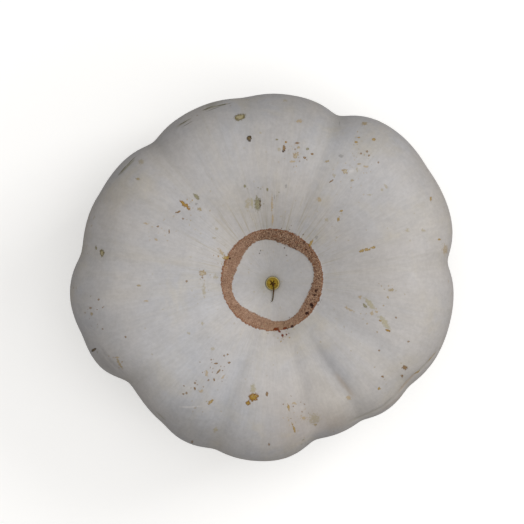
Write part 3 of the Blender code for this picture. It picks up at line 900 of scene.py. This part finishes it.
def makeSkin():
    facts = skinFacts
    material, tree, shader = newMaterial("pumpkinSkin")
    centred = placeFrom(tree, axis)
    direction = calculateVector(tree, "NORMALIZE", levelled(tree, centred))
    across = readAttribute(tree, "acrossScar")["Fac"]
    down = readAttribute(tree, "downSide")["Fac"]
    weatherAndShade = readAttribute(tree, "weatherAndShade")
    tint = addNode(tree, "SeparateColor", {"Color": weatherAndShade["Color"]}).outputs
    masks = {name: mottle(tree, centred, *values) for name, values in facts["mottled"].items()}
    for name, values in facts["streaked"].items():
        masks[name] = streak(tree, centred, down, *values)
    masks.update(groove=readAttribute(tree, "inGroove")["Fac"], cool=weatherAndShade["Alpha"],
                 warmTint=tint["Green"], oliveTint=tint["Blue"])

    # the clean skin
    colour = layColours(tree, facts, "base", "skinLayers", masks)
    for name, amount in facts["shades"].items():
        colour = scaled(tree, colour, fade(tree, masks[name], 0.0, 1.0, 1 - amount, 1 + amount))

    # fine lines that are densest beyond the scar's upper side
    north = calculateVector(tree, "DOT_PRODUCT", direction, (0.0, 1.0, 0.0))
    beyond = multiply(tree, fade(tree, across, *facts["linesStart"]), fade(tree, across, *facts["linesEnd"]))
    nearScar = multiply(tree, beyond, fade(tree, north, *facts["lineSides"]))
    colour = mixColours(tree, multiply(tree, masks["lines"], nearScar), colour, paint(facts["line"]))

    # the scar, then folds and broad weathering tints, then the dark channel: painted shade, and painted
    # light where it is below 0
    cork = finishCork(tree, facts, centred, direction, masks)
    colour = mixColours(tree, masks["scar"], colour, cork)
    colour = layColours(tree, facts, colour, "weatherAndShadeLayers", masks)
    colour = scaled(tree, colour, calculate(tree, "SUBTRACT", 1.0, tint["Red"]))

    # marks
    noise = addNode(tree, "TexNoise", {"Vector": centred, "Scale": facts["markNoise"], "Detail": 3.0})
    markPlace = readAttribute(tree, "markPlace")["Vector"]
    markEdge, markMiddle = readAttribute(tree, "markEdge"), readAttribute(tree, "markMiddle")
    wobble = calculateVector(tree, "SUBTRACT", noise.outputs["Color"], (0.5, 0.5, 0.5))
    wobble = scaled(tree, wobble, multiply(tree, markMiddle["Alpha"], facts["markRagged"]))
    away = calculateVector(tree, "LENGTH", levelled(tree, calculateVector(tree, "ADD", markPlace, wobble)))
    softness = addNode(tree, "SeparateXYZ", {"Vector": markPlace}).outputs["Z"]
    mark = fade(tree, away, calculate(tree, "SUBTRACT", 1.0, softness),
                calculate(tree, "ADD", 1.0, softness), 1.0, 0.0)
    mark = multiply(tree, mark, fade(tree, masks["worn"], 0.0, 1.0, facts["markWorn"], 1.0))
    mark = multiply(tree, mark, markEdge["Alpha"])
    markColour = mixColours(tree, fade(tree, away, *facts["markMiddle"]), markMiddle["Color"],
                            markEdge["Color"])
    colour = mixColours(tree, mark, colour, markColour)

    # gloss and fine relief
    rough = fade(tree, noise.outputs["Fac"], 0.3, 0.7, *facts["roughness"])
    rough = calculate(tree, "MAXIMUM", rough, multiply(tree, masks["scar"], facts["corkRoughness"]))
    pores = addNode(tree, "TexNoise", {"Vector": centred, "Scale": facts["poreSize"], "Detail": 2.0})
    masks.update(pores=pores.outputs["Fac"], mark=mark)
    height = multiply(tree, masks["grain"], masks["scar"])
    for name, amount in facts["relief"].items():
        height = calculate(tree, "ADD", height, multiply(tree, masks[name], amount))
    feed(tree, shader, {"Base Color": colour, "Roughness": rough, "Specular IOR Level": facts["specular"],
                        "Normal": bumped(tree, height, *facts["bump"])})
    return material


fruit.data.materials.append(makeSkin())
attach(fruit, "root")
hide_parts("fruit")
print("skin finished")


# Stalk

stalkFacts = {
    "ridges": 7,
    "twist": 1.5,  # radians from the seat to the cut
    "furrowDepth": 1.6 * mm,
    "furrowSides": (0.4, -1.0),  # on the wave of the ridges, which is 1 on a ridge
    "furrowStart": (0.0, 0.25),  # a share of the way from the seat to the cut
    "sideStart": (8 * mm, 11 * mm),  # from the axis
    "lumpDepth": 1.1 * mm,
    "lumpSize": 5 * mm,
    "grainDepth": 0.35 * mm,
    "grainSize": 1.4 * mm,
    "pithRadius": 4.5 * mm,
    "pithDepth": 1.8 * mm,
    "pithStart": (0.85, 0.95),
    "light": "a8946c",
    "dark": "6d5a3c",
    "crackAndFurrowShade": "43331f",
    "cutFibre": "b7a67c",
    "bundles": "7c673f",
    "pith": "6a5838",
    "patchy": (160.0, 0.8, 0.4, 0.65),
    "fibres": (9.0, 40.0, 0.4, 0.65),
    "corkGrains": 320.0,
    "bundleCells": 420.0,
    "bundleSize": (0.15, 0.4, 1.0, 0.0),
    "pithEdge": 1.5 * mm,
    # the crack colour in the seams is the cork's own; in the furrows it is painted shade
    "sideLayers": (("dark", "patchy", 1.0), ("dark", "fibres", 0.5), ("crackAndFurrowShade", "seams", 0.7),
                   ("crackAndFurrowShade", "furrow", 0.55)),
    "cutLayers": (("bundles", "bundles", 1.0), ("pith", "inPith", 0.85), ("dark", "patchy", 0.3)),
    "cutHeight": (0.5 * mm, 1.4 * mm),  # above its lowest point
    "cutReach": (5 * mm, 7 * mm, 1.0, 0.0),  # the pith belongs to the cut at any height
    "roughness": (0.2, 0.8, 0.75, 0.95),
    "bump": (0.8, 0.8 * mm),
}


def shapeStalk():
    facts = stalkFacts
    piece = copyOfNode("stalk", "pumpkin_stalk")
    addModifier(piece, "SUBSURF", levels=3, render_levels=3)
    low, high = stalkLow.z, stalkHigh.z
    points = readRows(piece.data.vertices, "co")
    x, y, z = points[:, 0] - axis.x, points[:, 1] - axis.y, points[:, 2]
    out, below = np.hypot(x, y), (high - z) / (high - low)
    outside = smoothStep(*facts["sideStart"], out)

    # furrows between the ridges of the CAD stalk, and a hollow pith in its cut end
    ridge = np.cos(facts["ridges"] * np.arctan2(y, x) + facts["twist"] * below)
    furrow = smoothStep(*facts["furrowSides"], ridge) * smoothStep(*facts["furrowStart"], below) * outside
    narrower = 1 - facts["furrowDepth"] * furrow / np.maximum(out, mm)
    points[:, 0], points[:, 1] = axis.x + x * narrower, axis.y + y * narrower
    pith = 1 - smoothStep(facts["pithRadius"] / 2, facts["pithRadius"], out)
    points[:, 2] += facts["pithDepth"] * pith * smoothStep(*facts["pithStart"], below)
    movePoints(piece.data, points)

    side = smoothStep(low, low + 2 * mm, z) * (1 - smoothStep(high - 3 * mm, high - mm, z))
    weightPoints(piece, "side", side * outside)
    displace(piece, facts["lumpSize"], facts["lumpDepth"], "side")
    displace(piece, facts["grainSize"], facts["grainDepth"], "side", noise_depth=3)
    keepOn(piece.data, "POINT", "inFurrow", furrow)
    bpy.ops.object.shade_smooth()
    return piece


def makeStalkCork():
    facts = stalkFacts
    material, tree, shader = newMaterial("stalkCork")
    centred = placeFrom(tree, axis)
    height = addNode(tree, "SeparateXYZ", {"Vector": centred}).outputs["Z"]
    grain, seams = granulate(tree, centred, facts["corkGrains"])
    masks = {"seams": seams, "patchy": mottle(tree, centred, *facts["patchy"]),
             "fibres": streak(tree, centred, height, *facts["fibres"]),
             "furrow": readAttribute(tree, "inFurrow")["Fac"]}
    colour = layColours(tree, facts, "light", "sideLayers", masks)

    # the cut end: pale fibre, darker bundles in a ring, and the pith in the middle
    reach = calculateVector(tree, "LENGTH", levelled(tree, centred))
    cells = addNode(tree, "TexVoronoi", {"Vector": centred, "Scale": facts["bundleCells"]})
    aroundPith = fade(tree, reach, facts["pithRadius"], facts["pithRadius"] + facts["pithEdge"])
    bundles = fade(tree, cells.outputs["Distance"], *facts["bundleSize"])
    masks["bundles"] = multiply(tree, bundles, aroundPith)
    masks["inPith"] = fade(tree, aroundPith, 0.0, 1.0, 1.0, 0.0)
    cut = layColours(tree, facts, "cutFibre", "cutLayers", masks)
    low, high = (stalkLow.z + above for above in facts["cutHeight"])
    onCut = calculate(tree, "MAXIMUM", fade(tree, height, low, high, 1.0, 0.0),
                      fade(tree, reach, *facts["cutReach"]))
    feed(tree, shader, {"Base Color": mixColours(tree, onCut, colour, cut),
                        "Roughness": fade(tree, grain, *facts["roughness"]),
                        "Normal": bumped(tree, grain, *facts["bump"])})
    return material


stalk = shapeStalk()
stalk.data.materials.append(makeStalkCork())
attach(stalk, "root")
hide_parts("stalk")
print("stalk made,", len(stalk.data.polygons), "faces")


# Style remnant: the button and its thread

styleFacts = {
    "radius": 5.3 * mm,
    "sides": 40,
    "wallHeight": 1.2 * mm,
    "flare": 1.04,
    # the top, from the rim inwards: mm inwards and mm upwards of each inset
    "insets": ((0.35, 0.45), (0.7, 0.25), (1.0, -0.15), (1.2, -0.25), (0.8, -0.1)),
    "starDepth": 0.6 * mm,
    "starRadius": 1.5 * mm,
    "starReach": 0.8 * mm,
    "starPoints": 5,
    "starTurn": 0.9,
    "starSoftness": (0.7, 1.3),
    "wrinkleSize": 1.2 * mm,
    "wrinkleDepth": 0.35 * mm,
    "disc": "9e8426",
    "discDark": "745a14",
    "discEdge": "5e4612",
    "star": "421400",
    "rimColour": "b0a064",
    "specular": 0.2,
    "roughness": 0.7,
    "patchy": (700.0, 0.5, 0.4, 0.65),
    "edgeFrom": (0.62, 0.76),  # shares of the radius
    "rimFrom": (0.8, 0.9),
    "corkGrains": 1500.0,
    "bump": (0.6, 0.2 * mm),
    "layers": (("discDark", "patchy", 1.0), ("discEdge", "edge", 0.4), ("rimColour", "rim", 1.0),
               ("star", "star", 1.0)),
}

threadFacts = {
    "thickness": 0.9 * mm,
    "buttonTop": 1.9 * mm,
    # mm from the button's middle, the last of each above its top, as the CAD thread lies
    "route": ((0.3, 0.4, -1.0), (0.3, -0.3, 0.1), (0.7, -1.6, 0.6), (0.9, -3.2, 0.7),
              (0.8, -4.9, 0.5), (0.7, -6.6, 0.4), (0.5, -8.3, 0.5), (0.4, -10.0, 0.6),
              (0.2, -11.6, 0.9), (-0.1, -13.0, 1.3), (-0.7, -14.1, 1.9)),
    # thickness at each of those places, as a share
    "swell": (1.6, 1.6, 1.3, 1.0, 1.35, 1.0, 0.9, 0.85, 0.85, 0.8, 0.6),
    "thread": "4e4212",
    "stain": "421400",
    "specular": 0.2,
    "roughness": 0.75,
    "patchy": (900.0, 0.4, 0.4, 0.65),
    "bump": (0.5, 0.1 * mm),
    "layers": (("stain", "patchy", 1.0),),
}


def shapeButton():
    facts = styleFacts
    bpy.ops.object.select_all(action="DESELECT")
    bpy.ops.mesh.primitive_circle_add(vertices=facts["sides"], radius=facts["radius"] / facts["flare"],
                                      fill_type="NGON", location=button)
    piece = bpy.context.object
    piece.name = "dried_style"
    bpy.ops.object.mode_set(mode="EDIT")
    bpy.ops.mesh.select_all(action="SELECT")
    bpy.ops.mesh.extrude_region_move(TRANSFORM_OT_translate={"value": (0, 0, facts["wallHeight"])})
    bpy.ops.transform.resize(value=(facts["flare"], facts["flare"], 1))
    for inwards, upwards in facts["insets"]:
        bpy.ops.mesh.inset(thickness=inwards * mm, depth=upwards * mm)
    bpy.ops.mesh.select_all(action="SELECT")
    bpy.ops.mesh.normals_make_consistent(inside=False)
    bpy.ops.object.mode_set(mode="OBJECT")
    bpy.ops.object.transform_apply(location=True, rotation=True, scale=True)
    addModifier(piece, "SUBSURF", levels=3, render_levels=3)

    # a sunken star in the middle of the top
    mesh = piece.data
    points = readRows(mesh.vertices, "co")
    x, y = points[:, 0] - button.x, points[:, 1] - button.y
    out, angle = np.hypot(x, y), np.arctan2(y, x)
    wave = np.cos(facts["starPoints"] * angle + facts["starTurn"])
    reach = facts["starRadius"] + facts["starReach"] * wave
    star = 1 - smoothStep(*facts["starSoftness"], out / np.maximum(reach, 0.3 * mm))
    star *= points[:, 2] > button.z + mm
    points[:, 2] -= facts["starDepth"] * star
    movePoints(mesh, points)
    keepOn(mesh, "POINT", "star", star)
    keepOn(mesh, "POINT", "outShare", out / facts["radius"])
    displace(piece, facts["wrinkleSize"], facts["wrinkleDepth"], noise_depth=2)
    bpy.ops.object.shade_smooth()
    return piece


def shapeThread():
    facts = threadFacts
    curve = bpy.data.curves.new("threadLine", "CURVE")
    curve.dimensions = "3D"
    curve.bevel_depth = facts["thickness"] / 2
    curve.bevel_resolution = 3
    curve.use_fill_caps = True
    spline = curve.splines.new("NURBS")
    spline.points.add(len(facts["route"]) - 1)
    spline.order_u = 4
    spline.use_endpoint_u = True
    spline.resolution_u = 6
    top = button + Vector((0, 0, facts["buttonTop"]))
    for point, place, swell in zip(spline.points, facts["route"], facts["swell"]):
        point.co = (*(top + Vector(place) * mm), 1)
        point.radius = swell
    piece = bpy.data.objects.new("dried_thread", curve)
    bpy.context.collection.objects.link(piece)
    selectOnly(piece)
    bpy.ops.object.convert(target="MESH")
    bpy.ops.object.shade_smooth()
    piece.data.materials.clear()
    return piece


def makeDriedFlower():
    facts = styleFacts
    material, tree, shader = newMaterial("driedFlower")
    centred = placeFrom(tree, button)
    share = readAttribute(tree, "outShare")["Fac"]
    masks = {"patchy": mottle(tree, centred, *facts["patchy"]), "star": readAttribute(tree, "star")["Fac"],
             "edge": fade(tree, share, *facts["edgeFrom"]), "rim": fade(tree, share, *facts["rimFrom"])}
    grain, _ = granulate(tree, centred, facts["corkGrains"])
    feed(tree, shader, {"Base Color": layColours(tree, facts, "disc", "layers", masks),
                        "Roughness": facts["roughness"], "Specular IOR Level": facts["specular"],
                        "Normal": bumped(tree, grain, *facts["bump"])})
    return material


def makeThreadFinish():
    facts = threadFacts
    material, tree, shader = newMaterial("driedThread")
    place = addNode(tree, "TexCoord", {}).outputs["Object"]
    patchy = mottle(tree, place, *facts["patchy"])
    feed(tree, shader, {"Base Color": layColours(tree, facts, "thread", "layers", {"patchy": patchy}),
                        "Roughness": facts["roughness"], "Specular IOR Level": facts["specular"],
                        "Normal": bumped(tree, patchy, *facts["bump"])})
    return material


style = shapeButton()
style.data.materials.append(makeDriedFlower())
thread = shapeThread()
thread.data.materials.append(makeThreadFinish())
for piece in (style, thread):
    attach(piece, "root")
    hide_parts("style_remnant")
print("style made")


# Floor and light

studio = {
    "floorSize": 12.0,
    "floorColour": "f7f6f4",
    "floorBounce": "8c8a88",
    "floorGlow": 0.34,
    "floorRoughness": 0.9,
    # name: power, azimuth, elevation, distance and size
    "sideLights": {"keyLight": (14.1, 30, 40, 2.2, 1.0), "fillLight": (4.95, 330, 40, 2.2, 1.0)},
    "sideTarget": (0, 0, 0.08),
    "topPower": 18.9,
    "topHeight": 3.4,
    "topSize": 2.6,
    "worldStrength": 0.478,
}


def makeFloor():
    bpy.ops.object.select_all(action="DESELECT")
    bpy.ops.mesh.primitive_plane_add(size=studio["floorSize"], location=(0, 0, 0))
    floor = bpy.context.object
    floor.name = "floor"
    material, tree, shader = newMaterial("paleFloor")
    pale = paint(studio["floorColour"])
    feed(tree, shader, {"Base Color": pale, "Roughness": studio["floorRoughness"],
                        "Emission Color": pale, "Emission Strength": studio["floorGlow"]})
    # it shows pale but throws little light back up at the fruit
    dim = addNode(tree, "BsdfDiffuse", {"Color": paint(studio["floorBounce"])})
    seen = addNode(tree, "LightPath", {}).outputs["Is Camera Ray"]
    level = addNode(tree, "MixShader", {0: seen, 1: dim.outputs["BSDF"], 2: shader.outputs["BSDF"]})
    # clear from below, so that the underside can be looked at
    clear = addNode(tree, "BsdfTransparent", {})
    behind = addNode(tree, "NewGeometry", {}).outputs["Backfacing"]
    both = addNode(tree, "MixShader", {0: behind, 1: level.outputs["Shader"], 2: clear.outputs["BSDF"]})
    feed(tree, tree.nodes["Material Output"], {"Surface": both.outputs["Shader"]})
    floor.data.materials.append(material)


def areaLight(name, place, target, size, power):
    bpy.ops.object.light_add(type="AREA", location=place)
    light = bpy.context.object
    light.name = name
    light.rotation_euler = (Vector(target) - Vector(place)).to_track_quat("-Z", "Y").to_euler()
    light.data.size = size
    light.data.energy = power


def makeLights():
    for name, (power, azimuth, elevation, far, size) in studio["sideLights"].items():
        azimuth, elevation = math.radians(azimuth), math.radians(elevation)
        level = far * math.cos(elevation)
        place = (level * math.cos(azimuth), level * math.sin(azimuth), far * math.sin(elevation))
        areaLight(name, place, studio["sideTarget"], size, power)
    areaLight("topLight", (0, 0, studio["topHeight"]), (0, 0, 0), studio["topSize"], studio["topPower"])
    world = bpy.data.worlds.new("softRoom")
    world.use_nodes = True
    background = world.node_tree.nodes["Background"].inputs
    background["Color"].default_value = (1, 1, 1, 1)
    background["Strength"].default_value = studio["worldStrength"]
    bpy.context.scene.world = world
    bpy.context.scene.view_settings.view_transform = "Standard"


makeFloor()
makeLights()
print("floor and lights made")
